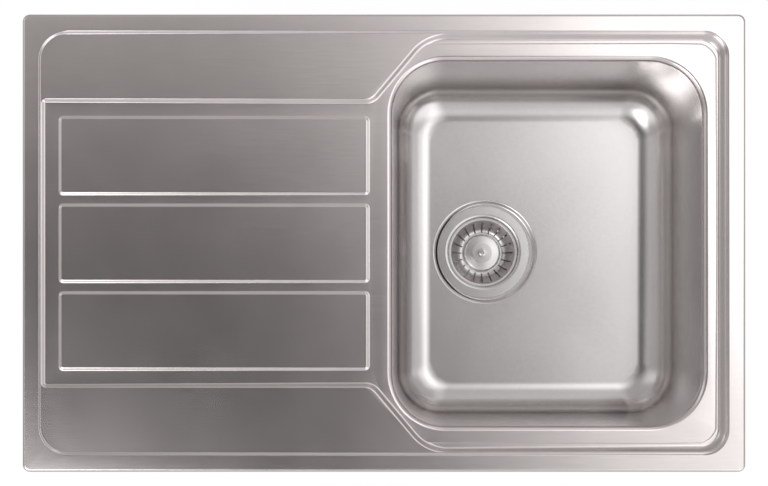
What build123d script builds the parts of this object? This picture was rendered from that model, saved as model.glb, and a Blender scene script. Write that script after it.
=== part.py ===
from build123d import *
import os
from math import atan2, cos, degrees, radians, sin, tan

# Kitchen sink with drainboard: one pressed steel deck that drops into a worktop
# cut-out, with a bowl welded under it, a basket strainer waste and turn-out clamps.
# Millimetres, +Z up. The origin is the centre of the outline, on the worktop's top.
# +X runs from the drainboard to the bowl, and +Y to the back of the worktop.

# ---- deck: sheet, outline and turned-down edge
sink_length = 790.0
sink_width = 500.0
outline_corner = 8.0
sheet = 1.0
rim_height = 6.0
edge_fold = 3.0
edge_gap = 0.4
cutout_margin = 10.0

# ---- deck: pressed area inside the rim, its wings and its sloping drainer floor
rim_band = 17.8
press_corner_bowl = 28.0
press_corner_drainer = 32.0
press_slope = 45.0
wing_step = 1.8
well_ledge = 1.0
floor_depth_left = 4.4
floor_depth_right = 8.6
drainer_width = 319.0
drainer_corner = 6.5
flare_angle = 50.0
flare_inset = 35.8
flare_bend_outer = 53.0
flare_bend_inner = 13.5

# ---- deck: raised drainer panels and the flat plateau round the bowl
panel_count = 3
panel_height = 1.3
panel_corner = 3.0
panel_gap = 9.3
panel_side_margin = 20.15
panel_end_margin = 21.7
panel_bowl_margin = 25.0
plateau_corner = 22.0
plateau_end_margin = 13.2
plateau_side_margin = 14.0
plateau_lead = 14.5

# ---- bowl
bowl_length = 340.0
bowl_side_margin = 32.2
bowl_corner = 58.0
bowl_end_margin = 27.7
bowl_depth = 160.0
bowl_draft = 3.8
bowl_floor_fillet = 40.0
bowl_fold = 6.0
collar_height = 2.0

# ---- waste hole and the recess pressed round it
waste_offset = 59.0
waste_hole_radius = 45.0
recess_depth = 3.0
recess_shift = 4.5
recess_gap = 0.4
recess_slope = 20.0

# ---- strainer cup
flange_radius = 55.5
flange_dish = 1.0
flange_seal_thickness = 0.8
flange_seal_inset = 1.0
cup_sheet = 1.0
cup_mouth_radius = 42.0
cup_ledge_drop = 5.2
cup_ledge_width = 2.4
cup_depth = 32.4
cup_foot_radius = 37.5
cup_outlet_radius = 20.0
cup_spoke_width = 3.0
cup_spoke_height = 7.0
cup_hub_radius = 7.5
cup_hub_height = 3.0
spoke_count = 3

# ---- basket, its stem and its stopper
basket_sheet = 0.8
basket_play = 0.5
basket_seat_gap = 0.1
basket_depth = 20.0
basket_wall_top = 38.6
basket_wall_foot = 25.0
dome_radius = 22.5
dome_flat_radius = 12.0
dome_height = 8.0
slot_count = 20
slot_width = 1.8
slot_margin = 1.2
stem_radius = 2.5
stem_fit = 0.1
knob_radius = 4.5
knob_height = 9.0
dimple_radius = 3.0
stopper_radius = 23.0
stopper_height = 3.6
stopper_seat_gap = 0.1
stem_washer_radius = 9.0
stem_washer_height = 1.0

# ---- waste body under the bowl
gasket_thickness = 3.0
gasket_width = 10.0
body_wall = 2.5
body_cup_gap = 1.5
body_flange_radius = 57.5
body_flange_height = 3.5
body_shoulder_drop = 30.0
body_cone_height = 20.0
outlet_radius = 23.9
outlet_length = 20.0
outlet_wall = 3.4
body_hub_radius = 8.0
body_hub_height = 10.0
body_rib_width = 3.0
insert_radius = 5.0
insert_length = 8.0
waste_screw_radius = 3.0
waste_screw_head_radius = 5.5
waste_screw_head_height = 2.8
screw_hole_gap = 0.2

# ---- seal under the rim, sound pads and earth tag
seal_inset = 3.5
seal_width = 5.5
pad_corner = 8.0
drainer_pad_margin = 14.0
drainer_pad_thickness = 2.0
bowl_pad_length = 96.0
bowl_pad_width = 250.0
bowl_pad_thickness = 2.5
bowl_pad_gap = 12.0
tag_width = 16.0
tag_drop = 22.0
tag_sheet = 1.5
tag_hole_radius = 3.2
tag_from_left = 130.0

# ---- clamps that pull the sink down on to the worktop
clamp_station_left = 85.0
clamp_station_middle = 315.0
clamp_station_bowl = 595.0
lug_sheet = 1.5
lug_width = 8.0
lug_leg_spacing = 21.0
lug_foot_length = 6.0
lug_foot_depth = 31.5
nut_across_flats = 8.0
nut_height = 4.0
clamp_screw_radius = 2.5
clamp_screw_fit = 0.05
clamp_hole_gap = 0.25
clamp_screw_grip = 3.0
clamp_travel = 20.0
clamp_head_radius = 5.0
clamp_head_height = 3.6
clamp_head_slot = 1.2
clamp_washer_radius = 5.5
clamp_washer_height = 0.8
jaw_play = 0.1
jaw_hub_radius = 6.0
jaw_hub_height = 8.0
jaw_width = 8.0
jaw_reach = 34.0
jaw_thickness = 3.5
jaw_rise = 14.0
jaw_flat = 16.5
jaw_tooth = 1.2
jaw_teeth = 3

# ---- places worked out from the sizes above
press_x = sink_length / 2 - rim_band
press_y = sink_width / 2 - rim_band
well_x = press_x - well_ledge
well_y = press_y - well_ledge
well_corner = press_corner_bowl - well_ledge
wing_z = rim_height - wing_step
bowl_width = 2 * (press_y - bowl_side_margin)
bowl_x = press_x - bowl_end_margin - bowl_length / 2
bowl_left = bowl_x - bowl_length / 2
bowl_right = bowl_x + bowl_length / 2
bowl_floor_z = rim_height - bowl_depth
waste_x = bowl_x - waste_offset
floor_fall = (floor_depth_right - floor_depth_left) / (2 * press_x)
floor_tilt = degrees(atan2(floor_fall, 1))


def floor_height(x):
    """Height of the drainer floor's top face at x."""
    return rim_height - floor_depth_left - floor_fall * (x + press_x)


plateau_left = bowl_left - plateau_lead
plateau_right = press_x - plateau_end_margin
plateau_half = press_y - plateau_side_margin
plateau_z = floor_height(plateau_left)
collar_z = plateau_z - bowl_fold - collar_height
panel_left = -press_x + panel_end_margin
panel_right = bowl_left - panel_bowl_margin
panel_mid = (panel_left + panel_right) / 2
panel_space = drainer_width - 2 * panel_side_margin
panel_width = (panel_space - (panel_count - 1) * panel_gap) / panel_count
panel_pitch = panel_width + panel_gap
floor_plane = Plane(
    origin=(0, 0, floor_height(0)),
    x_dir=(cos(radians(floor_tilt)), 0, -sin(radians(floor_tilt))),
    z_dir=(sin(radians(floor_tilt)), 0, cos(radians(floor_tilt))),
)


def block(low, high):
    """Box between two corners."""
    size = [high[axis] - low[axis] for axis in range(3)]
    middle = [(high[axis] + low[axis]) / 2 for axis in range(3)]
    return Pos(*middle) * Box(*size)


def tube(outer, inner, low, high):
    """Ring about the local Z axis between two heights."""
    ring = Circle(outer) - Circle(inner)
    return extrude(Pos(0, 0, low) * ring, high - low)


def rod(radius, low, high):
    """Round bar about the local Z axis between two heights."""
    return extrude(Pos(0, 0, low) * Circle(radius), high - low)


def turned(points):
    """Solid of revolution about the local Z axis from (radius, height) points."""
    corners = [(radius, 0, height) for radius, height in points]
    profile = make_face(Polyline(*corners, close=True))
    return revolve(profile, Axis.Z, 360)


# ---- deck


def flared_outline():
    """Edge of the drainer and bowl well at rim level: narrow, flaring wide round the bowl."""
    half = drainer_width / 2
    turn = radians(flare_angle)
    corner_x = bowl_left + flare_inset
    arc_start_x = corner_x + flare_bend_outer * tan(turn / 2)
    bends = (flare_bend_outer + flare_bend_inner) * (1 - cos(turn))
    slant = (well_y - half - bends) / sin(turn)
    with BuildLine() as outline:
        side = Line((well_x, 0), (well_x, well_y - well_corner))
        corner = JernArc(side @ 1, (0, 1), well_corner, 90)
        back = Line(corner @ 1, (arc_start_x, well_y))
        outer_bend = JernArc(back @ 1, (-1, 0), flare_bend_outer, flare_angle)
        flare = PolarLine(outer_bend @ 1, slant, 180 + flare_angle)
        inner_bend = JernArc(flare @ 1, flare % 1, flare_bend_inner, -flare_angle)
        drainer = Line(inner_bend @ 1, (-well_x + drainer_corner, half))
        end = JernArc(drainer @ 1, (-1, 0), drainer_corner, 90)
        Line(end @ 1, (-well_x, 0))
        mirror(about=Plane.XZ)
    return make_face(outline.line)


def wing_outline():
    """Edge of the whole pressed area at rim level."""
    shape = Rectangle(2 * press_x, 2 * press_y)
    shape = fillet(shape.vertices().group_by(Axis.X)[0], press_corner_drainer)
    return fillet(shape.vertices().group_by(Axis.X)[-1], press_corner_bowl)


def drainer_panels():
    """Raised panels of the drainer, parallel to its sloping floor, with sloped edges."""
    bed = sheet + panel_height
    grow = 2 * bed
    base = RectangleRounded(
        panel_right - panel_left + grow, panel_width + grow, panel_corner + bed
    )
    rise = bed + panel_height
    start = floor_plane.to_local_coords(Vector(panel_mid, 0, floor_height(panel_mid)))
    panels = []
    for number in range(panel_count):
        across = (number - (panel_count - 1) / 2) * panel_pitch
        spot = floor_plane * Pos(start.X, across, -bed)
        panels.append(spot * extrude(base, rise, taper=press_slope))
    return panels


def bowl_plateau():
    """Flat raised ground that surrounds the bowl opening, with a gutter round it."""
    depth = floor_depth_right
    left = plateau_left - plateau_lead
    length = plateau_right - left + 2 * depth
    base = RectangleRounded(length, 2 * (plateau_half + depth), plateau_corner + depth)
    spot = Pos((plateau_right + left) / 2, 0, plateau_z - depth)
    return spot * extrude(base, depth, taper=press_slope)


def pressings():
    """Everything pressed down from the rim: the two wings and the sloping well."""
    down = (0, 0, -1)
    rim_level = Pos(0, 0, rim_height)
    wings = extrude(rim_level * wing_outline(), wing_step, dir=down, taper=press_slope)
    deep = 2 * floor_depth_right
    well = extrude(rim_level * flared_outline(), deep, dir=down, taper=press_slope)
    well = split(well, bisect_by=floor_plane, keep=Keep.TOP)
    well = well - bowl_plateau() - drainer_panels()
    return wings + well


def formed_block(drop, pressed):
    """Solid block under one face of the deck's sheet: drop 0 is the top face."""
    low = collar_z
    top = rim_height - drop
    outline = RectangleRounded(
        sink_length - 2 * drop, sink_width - 2 * drop, outline_corner - drop
    )
    slab = extrude(Pos(0, 0, low) * outline, top - low)
    slab = fillet(slab.edges().group_by(Axis.Z)[-1], edge_fold - drop)
    slab = slab - Pos(0, 0, -drop) * pressed
    opening = RectangleRounded(
        bowl_length + 2 * drop, bowl_width + 2 * drop, bowl_corner + drop
    )
    hole = extrude(Pos(bowl_x, 0, low) * opening, top - low)
    slab = slab - hole
    brink = plateau_z - drop
    near = sheet / 2
    level = slab.faces().filter_by(Axis.Z).filter_by_position(Axis.Z, brink - near, brink + near)
    rounded = [edge for face in level for wire in face.inner_wires() for edge in wire.edges()]
    return fillet(rounded, bowl_fold - drop)


def drainboard_deck():
    """One pressed sheet: rim, wings, drainer, plateau, bowl collar and turned-down edge."""
    pressed = pressings()
    deck = formed_block(0, pressed) - formed_block(sheet, pressed)
    inner = (sink_length / 2 - cutout_margin, sink_width / 2 - cutout_margin)
    below = block(
        (-sink_length, -sink_width, collar_z - sheet), (sink_length, sink_width, edge_gap)
    )
    kept = block((-inner[0], -inner[1], collar_z - sheet), (inner[0], inner[1], edge_gap))
    return deck - (below - kept)


# ---- bowl

recess_radius = flange_radius + recess_shift + recess_gap
recess_rim = recess_radius + recess_depth * tan(radians(recess_slope))
recess_z = bowl_floor_z - recess_depth


def bowl_form(drop):
    """Solid inside (drop 0) or outside (drop one sheet) of the bowl's wall and floor."""
    outline = RectangleRounded(
        bowl_length + 2 * drop, bowl_width + 2 * drop, bowl_corner + drop
    )
    height = collar_z - bowl_floor_z + drop
    top = Pos(bowl_x, 0, collar_z)
    form = extrude(top * outline, height, dir=(0, 0, -1), taper=bowl_draft)
    form = fillet(form.edges().group_by(Axis.Z)[0], bowl_floor_fillet + drop)
    recess = turned([
        (0, recess_z - drop),
        (recess_radius + drop, recess_z - drop),
        (recess_rim + drop, bowl_floor_z - drop),
        (0, bowl_floor_z - drop),
    ])
    return form + Pos(waste_x + recess_shift, 0, 0) * recess


def bowl():
    """Deep-drawn bowl with a recess and a hole for the waste, butt-welded to the collar."""
    shell = bowl_form(sheet) - bowl_form(0)
    hole = Pos(waste_x, 0, recess_z) * Cylinder(waste_hole_radius, 4 * recess_depth)
    return shell - hole


# ---- strainer cup and its seals, in local coordinates about the waste's axis



def flange_under(radius):
    """Height of the dished flange's lower face at a radius."""
    mouth_side = (radius - cup_mouth_radius) / (flange_radius - cup_mouth_radius)
    return recess_z + flange_seal_thickness + flange_dish * mouth_side


cup_mouth_z = flange_under(cup_mouth_radius) + cup_sheet
cup_ledge_z = cup_mouth_z - cup_ledge_drop
cup_ledge_radius = cup_mouth_radius - cup_ledge_width
cup_floor_z = cup_mouth_z - cup_depth
cup_low_z = cup_floor_z - cup_sheet
cup_hub_top = cup_low_z - cup_spoke_height + cup_hub_height


def waste_spokes(width, reach, low, high):
    """Radial ribs that join a hub to its wall, the first one pointing to the back."""
    rib = block((0, -width / 2, low), (reach, width / 2, high))
    return [Rot(0, 0, 90 + 360 * number / spoke_count) * rib for number in range(spoke_count)]


def strainer_cup():
    """Steel cup with a dished flange, a ledge for the basket and a spoked outlet."""
    lip = flange_radius
    mouth = cup_mouth_radius
    shell = turned([
        (lip, flange_under(lip)),
        (lip, flange_under(lip) + cup_sheet),
        (mouth, cup_mouth_z),
        (mouth, cup_ledge_z),
        (cup_ledge_radius, cup_ledge_z),
        (cup_foot_radius, cup_floor_z),
        (cup_outlet_radius, cup_floor_z),
        (cup_outlet_radius, cup_low_z),
        (cup_foot_radius + cup_sheet, cup_low_z),
        (cup_ledge_radius + cup_sheet, cup_ledge_z - cup_sheet),
        (mouth + cup_sheet, cup_ledge_z - cup_sheet),
        (mouth + cup_sheet, flange_under(mouth + cup_sheet)),
    ])
    reach = cup_outlet_radius + cup_sheet
    spokes = waste_spokes(cup_spoke_width, reach, cup_low_z - cup_spoke_height, cup_low_z)
    hub = rod(cup_hub_radius, cup_low_z - cup_spoke_height, cup_hub_top)
    well = rod(cup_hub_radius, cup_hub_top, cup_low_z)
    hole = rod(waste_screw_radius + screw_hole_gap, cup_low_z - 2 * cup_spoke_height, cup_floor_z)
    return shell + spokes + hub - well - hole


def flange_seal():
    """Soft ring between the cup's flange and the recess."""
    inner = waste_hole_radius + flange_seal_inset
    outer = flange_radius - flange_seal_inset
    return turned([
        (inner, recess_z),
        (outer, recess_z),
        (outer, flange_under(outer)),
        (inner, flange_under(inner)),
    ])


# ---- basket

basket_rim_z = cup_ledge_z + basket_seat_gap
basket_rim_radius = cup_mouth_radius - basket_play
basket_floor_z = basket_rim_z - basket_depth
dome_top_z = basket_floor_z + dome_height


def strainer_basket():
    """Basket with a slotted conical wall and a domed middle."""
    skin = basket_sheet
    shell = turned([
        (basket_rim_radius, basket_rim_z),
        (basket_rim_radius, basket_rim_z + skin),
        (basket_wall_top, basket_rim_z + skin),
        (basket_wall_foot, basket_floor_z + skin),
        (dome_radius, basket_floor_z + skin),
        (dome_flat_radius, dome_top_z + skin),
        (stem_radius + stem_fit, dome_top_z + skin),
        (stem_radius + stem_fit, dome_top_z),
        (dome_flat_radius - skin / 2, dome_top_z),
        (dome_radius - skin / 2, basket_floor_z),
        (basket_wall_foot + skin / 2, basket_floor_z),
        (basket_wall_top + skin / 2, basket_rim_z),
    ])
    near = (basket_wall_foot + slot_margin, -slot_width / 2, basket_floor_z - skin)
    far = (basket_wall_top - 2 * slot_margin, slot_width / 2, basket_rim_z)
    step = 360 / slot_count
    cutter = block(near, far)
    return shell - [Rot(0, 0, step * (number + 1 / 2)) * cutter for number in range(slot_count)]


stopper_low = cup_floor_z + stopper_seat_gap
stopper_high = stopper_low + stopper_height


def basket_stopper():
    """Rubber disc under the basket that closes the cup's outlet."""
    inner = stem_radius + stem_fit
    return turned([
        (inner, stopper_low),
        (cup_outlet_radius, stopper_low),
        (stopper_radius, stopper_low + stopper_height / 2),
        (stopper_radius, stopper_high),
        (inner, stopper_high),
    ])


def stem_washer():
    """Disc that backs the stopper from above."""
    high = stopper_high + stem_washer_height
    return tube(stem_washer_radius, stem_radius + stem_fit, stopper_high, high)


def basket_stem():
    """Turned stem with a dimpled knob on top and a riveted end under the stopper."""
    low = stopper_low
    knob_low = dome_top_z + basket_sheet
    knob_top = knob_low + knob_height
    shaft = rod(stem_radius, low, knob_low)
    knob = rod(knob_radius, knob_low, knob_top)
    knob = fillet(knob.edges().group_by(Axis.Z)[-1], knob_radius / 3)
    dimple = Pos(0, 0, knob_top + dimple_radius / 2) * Sphere(dimple_radius)
    return shaft + knob - dimple


# ---- waste body and what holds it to the cup

gasket_high = recess_z - sheet
gasket_low = gasket_high - gasket_thickness
body_inner = cup_mouth_radius + cup_sheet + body_cup_gap
body_outer = body_inner + body_wall
body_shoulder_z = gasket_low - body_shoulder_drop
body_cone_z = body_shoulder_z - body_cone_height
outlet_low = body_cone_z - outlet_length
outlet_bore = outlet_radius - outlet_wall
body_hub_low = body_cone_z + body_wall
body_hub_top = body_hub_low + body_hub_height


def under_gasket():
    """Thick ring between the bowl's underside and the waste body."""
    inner = body_flange_radius - gasket_width
    return tube(body_flange_radius, inner, gasket_low, gasket_high)


def waste_body():
    """Moulded funnel with a flange, a spider for the centre screw and a round outlet."""
    shell = turned([
        (body_inner, gasket_low),
        (body_flange_radius, gasket_low),
        (body_flange_radius, gasket_low - body_flange_height),
        (body_outer, gasket_low - body_flange_height),
        (body_outer, body_shoulder_z),
        (outlet_radius, body_cone_z),
        (outlet_radius, outlet_low),
        (outlet_bore, outlet_low),
        (outlet_bore, body_cone_z),
        (body_inner, body_shoulder_z),
    ])
    ribs = waste_spokes(body_rib_width, body_inner, body_hub_low, body_hub_top)
    funnel = turned([
        (0, body_cone_z),
        (outlet_bore + body_wall / 2, body_cone_z),
        (body_inner + body_wall / 2, body_shoulder_z),
        (0, body_shoulder_z),
    ])
    ribs = [rib & funnel for rib in ribs]
    hub = rod(body_hub_radius, body_hub_low, body_hub_top)
    socket = rod(insert_radius, body_hub_top - insert_length, body_hub_top)
    return shell + ribs + hub - socket


def threaded_insert():
    """Brass insert in the waste body's hub."""
    bore = waste_screw_radius
    return tube(insert_radius, bore, body_hub_top - insert_length, body_hub_top)


def centre_screw():
    """Screw that draws the waste body up against the bowl."""
    head_low = cup_hub_top
    head_high = head_low + waste_screw_head_height
    shank = rod(waste_screw_radius, body_hub_top - insert_length, head_low)
    head = rod(waste_screw_head_radius, head_low, head_high)
    head = chamfer(head.edges().group_by(Axis.Z)[-1], waste_screw_head_height / 4)
    slot = block(
        (-waste_screw_head_radius, -clamp_head_slot / 2, head_high - waste_screw_head_height / 2),
        (waste_screw_head_radius, clamp_head_slot / 2, head_high),
    )
    return shank + head - slot


# ---- seal, sound pads and earth tag


def rim_seal():
    """Foam strip that lies between the rim's underside and the worktop."""
    outer_x = sink_length - 2 * seal_inset
    outer_y = sink_width - 2 * seal_inset
    inner_x = outer_x - 2 * seal_width
    inner_y = outer_y - 2 * seal_width
    ring = RectangleRounded(outer_x, outer_y, outline_corner) - Rectangle(inner_x, inner_y)
    return extrude(ring, rim_height - sheet)


def drainer_sound_pad():
    """Damping sheet stuck inside the middle panel's hollow, parallel to the floor."""
    length = panel_right - panel_left - 2 * drainer_pad_margin
    width = panel_width - drainer_pad_margin
    start = floor_plane.to_local_coords(Vector(panel_mid, 0, floor_height(panel_mid)))
    top = panel_height - sheet
    spot = floor_plane * Pos(start.X, 0, top - drainer_pad_thickness)
    return spot * extrude(RectangleRounded(length, width, pad_corner), drainer_pad_thickness)


def bowl_sound_pad():
    """Damping sheet stuck under the bowl's floor, beside the waste."""
    left = waste_x + recess_shift + recess_rim + sheet + bowl_pad_gap
    middle = left + bowl_pad_length / 2
    high = bowl_floor_z - sheet
    shape = RectangleRounded(bowl_pad_length, bowl_pad_width, pad_corner)
    return extrude(Pos(middle, 0, high - bowl_pad_thickness) * shape, bowl_pad_thickness)


tag_x = -sink_length / 2 + tag_from_left
tag_y = -(drainer_width / 2 + press_y) / 2
tag_high = wing_z - sheet


def earth_tag():
    """Angle with a hole, welded under the front wing for the earth wire."""
    top = block((-tag_width / 2, 0, tag_high - tag_sheet), (tag_width / 2, tag_width, tag_high))
    blade = block((-tag_width / 2, 0, tag_high - tag_drop), (tag_width / 2, tag_sheet, tag_high))
    hole_z = tag_high - tag_drop + tag_width / 2
    hole = Pos(0, 0, hole_z) * Rot(90, 0, 0) * Cylinder(tag_hole_radius, 4 * tag_sheet)
    return Pos(tag_x, tag_y, 0) * (top + blade - hole)


# ---- clamps: a lug and nut welded under the deck, and a screw that carries a swinging jaw

lug_foot_high = rim_height - sheet - lug_foot_depth
lug_foot_low = lug_foot_high - lug_sheet
screw_tip_z = lug_foot_high + clamp_screw_grip
jaw_top_z = lug_foot_low - clamp_travel - jaw_play
jaw_low_z = jaw_top_z - jaw_hub_height
washer_high = jaw_low_z - jaw_play
washer_low = washer_high - clamp_washer_height
head_low = washer_low - clamp_head_height


def clamp_stations():
    """Name, x, y, height of the deck's underside and outward direction of each clamp."""
    row_y = (bowl_width / 2 + bowl_fold + plateau_half) / 2
    under_wing = wing_z - sheet
    under_plateau = plateau_z - sheet
    left_x = (-well_x + floor_depth_left + panel_left) / 2
    right_x = (bowl_right + bowl_fold + plateau_right) / 2
    under_left = floor_height(left_x + lug_width / 2) - sheet
    along = [
        (clamp_station_left, under_wing),
        (clamp_station_middle, under_wing),
        (clamp_station_bowl, under_plateau),
    ]
    stations = []
    for side in (-1, 1):
        for from_left, under in along:
            stations.append((from_left - sink_length / 2, side * row_y, under, 90 * side))
    stations.append((left_x, 0, under_left, 180))
    stations.append((right_x, 0, under_plateau, 0))
    return stations


def clamp_lug(under):
    """Hat-shaped bracket: two welded feet, two legs and a bridge with a hole."""
    half = lug_leg_spacing / 2
    far = half + lug_foot_length
    width = lug_width / 2
    legs = block((-width, -half, lug_foot_low), (width, half, under))
    inside = block((-width, -half + lug_sheet, lug_foot_high), (width, half - lug_sheet, under))
    feet = block((-width, -far, under - lug_sheet), (width, far, under))
    gap = block((-width, -half + lug_sheet, under - lug_sheet), (width, half - lug_sheet, under))
    hole = rod(clamp_screw_radius + clamp_hole_gap, lug_foot_low, lug_foot_high)
    return legs - inside + (feet - gap) - hole


def weld_nut():
    """Square-set hexagon nut on top of the lug's bridge."""
    hexagon = RegularPolygon(nut_across_flats / 2, 6, major_radius=False)
    ring = hexagon - Circle(clamp_screw_radius + clamp_screw_fit)
    return extrude(Pos(0, 0, lug_foot_high) * ring, nut_height)


def clamp_screw():
    """Screw with its slotted head at the bottom, where the fitter turns it."""
    shank = rod(clamp_screw_radius, washer_low, screw_tip_z)
    shank = chamfer(shank.edges().group_by(Axis.Z)[-1], clamp_screw_radius / 4)
    head = rod(clamp_head_radius, head_low, washer_low)
    head = chamfer(head.edges().group_by(Axis.Z)[0], clamp_head_height / 5)
    slot = block(
        (-clamp_head_radius, -clamp_head_slot / 2, head_low),
        (clamp_head_radius, clamp_head_slot / 2, head_low + clamp_head_height / 2),
    )
    return shank + head - slot


def clamp_washer():
    """Washer between the screw's head and the jaw."""
    return tube(clamp_washer_radius, clamp_screw_radius + clamp_screw_fit, washer_low, washer_high)


def clamp_jaw():
    """Jaw that swings out under the worktop: hub, low arm, raised end and teeth."""
    tip_high = jaw_top_z + jaw_rise
    side = [
        (0, jaw_top_z),
        (jaw_flat, jaw_top_z),
        (jaw_flat + jaw_thickness, tip_high),
        (jaw_reach, tip_high),
        (jaw_reach, tip_high - jaw_thickness),
        (jaw_flat + 2 * jaw_thickness, tip_high - jaw_thickness),
        (jaw_flat + jaw_thickness, jaw_top_z - jaw_thickness),
        (0, jaw_top_z - jaw_thickness),
    ]
    corners = [(x, -jaw_width / 2, z) for x, z in side]
    arm = extrude(make_face(Polyline(*corners, close=True)), jaw_width, dir=(0, 1, 0))
    hub = rod(jaw_hub_radius, jaw_low_z, jaw_top_z)
    first = jaw_flat + 2 * jaw_thickness
    pitch = (jaw_reach - first) / jaw_teeth
    teeth = []
    for number in range(jaw_teeth):
        start = first + number * pitch
        tooth = [(start, tip_high), (start + pitch, tip_high), (start + pitch, tip_high + jaw_tooth)]
        edge = Polyline(*[(x, -jaw_width / 2, z) for x, z in tooth], close=True)
        teeth.append(extrude(make_face(edge), jaw_width, dir=(0, 1, 0)))
    bore = rod(clamp_screw_radius + clamp_screw_fit, jaw_low_z - jaw_play, jaw_top_z + jaw_rise)
    return arm + hub + teeth - bore


def at_waste(shape):
    """Put a part of the waste on the waste's axis."""
    return Pos(waste_x, 0, 0) * shape


def at_station(shape, station, turn):
    """Put a clamp part at its station, turned from the outward direction."""
    x, y, under, outward = station
    return Pos(x, y, 0) * Rot(0, 0, outward + turn) * shape


def save(shape, node):
    """Write one named sub-part."""
    export_step(shape, "parts/" + node + ".step")


os.makedirs("parts", exist_ok=True)
save(drainboard_deck(), "drainboard_deck")
save(bowl(), "bowl")
save(rim_seal(), "rim_seal")
save(drainer_sound_pad(), "drainer_sound_pad")
save(bowl_sound_pad(), "bowl_sound_pad")
save(earth_tag(), "earth_tag")
save(at_waste(strainer_cup()), "strainer_cup")
save(at_waste(flange_seal()), "flange_seal")
save(at_waste(under_gasket()), "under_gasket")
save(at_waste(waste_body()), "waste_body")
save(at_waste(threaded_insert()), "threaded_insert")
save(at_waste(centre_screw()), "centre_screw")
save(at_waste(strainer_basket()), "strainer_basket")
save(at_waste(basket_stem()), "basket_stem")
save(at_waste(stem_washer()), "stem_washer")
save(at_waste(basket_stopper()), "basket_stopper")

stations = clamp_stations()
lugs = [at_station(clamp_lug(station[2]), station, 0) for station in stations]
nuts = [at_station(weld_nut(), station, 0) for station in stations]
save(Compound(lugs), "clamp_lugs")
save(Compound(nuts), "weld_nuts")
for number, station in enumerate(stations, start=1):
    save(at_station(clamp_screw(), station, 0), "clamp_screw_%d" % number)
    save(at_station(clamp_washer(), station, 0), "clamp_washer_%d" % number)
    save(at_station(clamp_jaw(), station, -90), "clamp_jaw_%d" % number)
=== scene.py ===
from math import cos, hypot, pi, radians, sin, tan

import bmesh
import bpy
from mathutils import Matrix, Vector


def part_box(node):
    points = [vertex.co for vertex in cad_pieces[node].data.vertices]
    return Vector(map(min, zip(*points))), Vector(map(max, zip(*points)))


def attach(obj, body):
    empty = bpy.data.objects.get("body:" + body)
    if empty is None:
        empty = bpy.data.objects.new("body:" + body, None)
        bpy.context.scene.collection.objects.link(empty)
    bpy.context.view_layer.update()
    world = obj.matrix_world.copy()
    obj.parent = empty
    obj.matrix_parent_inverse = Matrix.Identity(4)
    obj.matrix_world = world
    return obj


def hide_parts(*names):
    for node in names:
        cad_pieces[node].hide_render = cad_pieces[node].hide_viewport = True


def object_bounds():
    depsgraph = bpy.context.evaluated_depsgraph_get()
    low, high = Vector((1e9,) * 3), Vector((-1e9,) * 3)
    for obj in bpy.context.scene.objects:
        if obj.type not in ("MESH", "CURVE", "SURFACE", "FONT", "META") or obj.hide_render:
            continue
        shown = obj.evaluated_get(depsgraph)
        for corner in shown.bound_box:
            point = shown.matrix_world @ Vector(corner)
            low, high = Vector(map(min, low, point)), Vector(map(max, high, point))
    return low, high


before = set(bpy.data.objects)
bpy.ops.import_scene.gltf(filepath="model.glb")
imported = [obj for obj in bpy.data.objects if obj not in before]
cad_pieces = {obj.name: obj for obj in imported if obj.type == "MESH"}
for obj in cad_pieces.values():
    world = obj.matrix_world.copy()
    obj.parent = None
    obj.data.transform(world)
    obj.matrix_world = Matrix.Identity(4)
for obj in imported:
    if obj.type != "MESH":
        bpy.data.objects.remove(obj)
cad_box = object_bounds()
mm = 0.001

# ---- Camera
# The picture is taken from straight above, a metre and a half over the rim. The lens is
# shifted so that the sink fills the frame while the camera stands nearer its front edge.
camera_height = 1476 * mm
picture_width = 838.3 * mm
camera_x = -4.6 * mm
camera_y = -99.0 * mm
sensor_width = 36
far_clip = 20
rim_top = cad_box[1].z
bpy.ops.object.camera_add(location=(camera_x, camera_y, rim_top + camera_height), rotation=(0, 0, 0))
camera = bpy.context.object
camera.data.sensor_width = sensor_width
camera.data.lens = sensor_width * camera_height / picture_width
camera.data.shift_x = -camera_x / picture_width
camera.data.shift_y = -camera_y / picture_width
camera.data.clip_end = far_clip
bpy.context.scene.camera = camera

# ---- Drainboard deck
# One sheet of satin stainless steel. A press forms the rim, the two wings, the sloping drainer
# with its raised panels and the plateau round the bowl; the edge is folded down all round.
deck_low, deck_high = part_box("drainboard_deck")
bowl_low, bowl_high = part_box("bowl")
sheet = 1.0 * mm
bowl_x = (bowl_low.x + bowl_high.x) / 2
bowl_half_length = (bowl_high.x - bowl_low.x) / 2 - sheet
bowl_half_width = (bowl_high.y - bowl_low.y) / 2 - sheet
bowl_corner = 58.0 * mm
bowl_fold = 6.0 * mm
outline_corner = 8.0 * mm
edge_fold = 3.0 * mm
edge_gap = 0.4 * mm
edge_steps = 6
rim_width = 17.8 * mm
press_x = deck_high.x - rim_width
press_y = deck_high.y - rim_width
press_corner_bowl = 28.0 * mm
press_corner_drainer = 32.0 * mm
wing_z = rim_top - 1.8 * mm
well_ledge = 1.0 * mm
well_x = press_x - well_ledge
well_y = press_y - well_ledge
well_corner = press_corner_bowl - well_ledge
drainer_half = 159.5 * mm
drainer_corner = 6.5 * mm
flare_angle = radians(50)
flare_x = bowl_x - bowl_half_length + 35.8 * mm
flare_bend_outer = 53.0 * mm
flare_bend_inner = 13.5 * mm
floor_depth_left = 4.4 * mm
floor_depth_right = 8.6 * mm
floor_fall = (floor_depth_right - floor_depth_left) / (2 * press_x)
plateau_left = bowl_x - bowl_half_length - 14.5 * mm
plateau_right = press_x - 13.2 * mm
plateau_half = press_y - 14.0 * mm
plateau_corner = 22.0 * mm
gutter_least = 0.5 * mm
panel_left = -press_x + 23.3 * mm
panel_right = bowl_x - bowl_half_length - 27.7 * mm
panel_pitch = 96.0 * mm
panel_width = 82.3 * mm
panel_height = 1.3 * mm
panel_corner = 3.0 * mm
bend_share = 0.3
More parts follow.
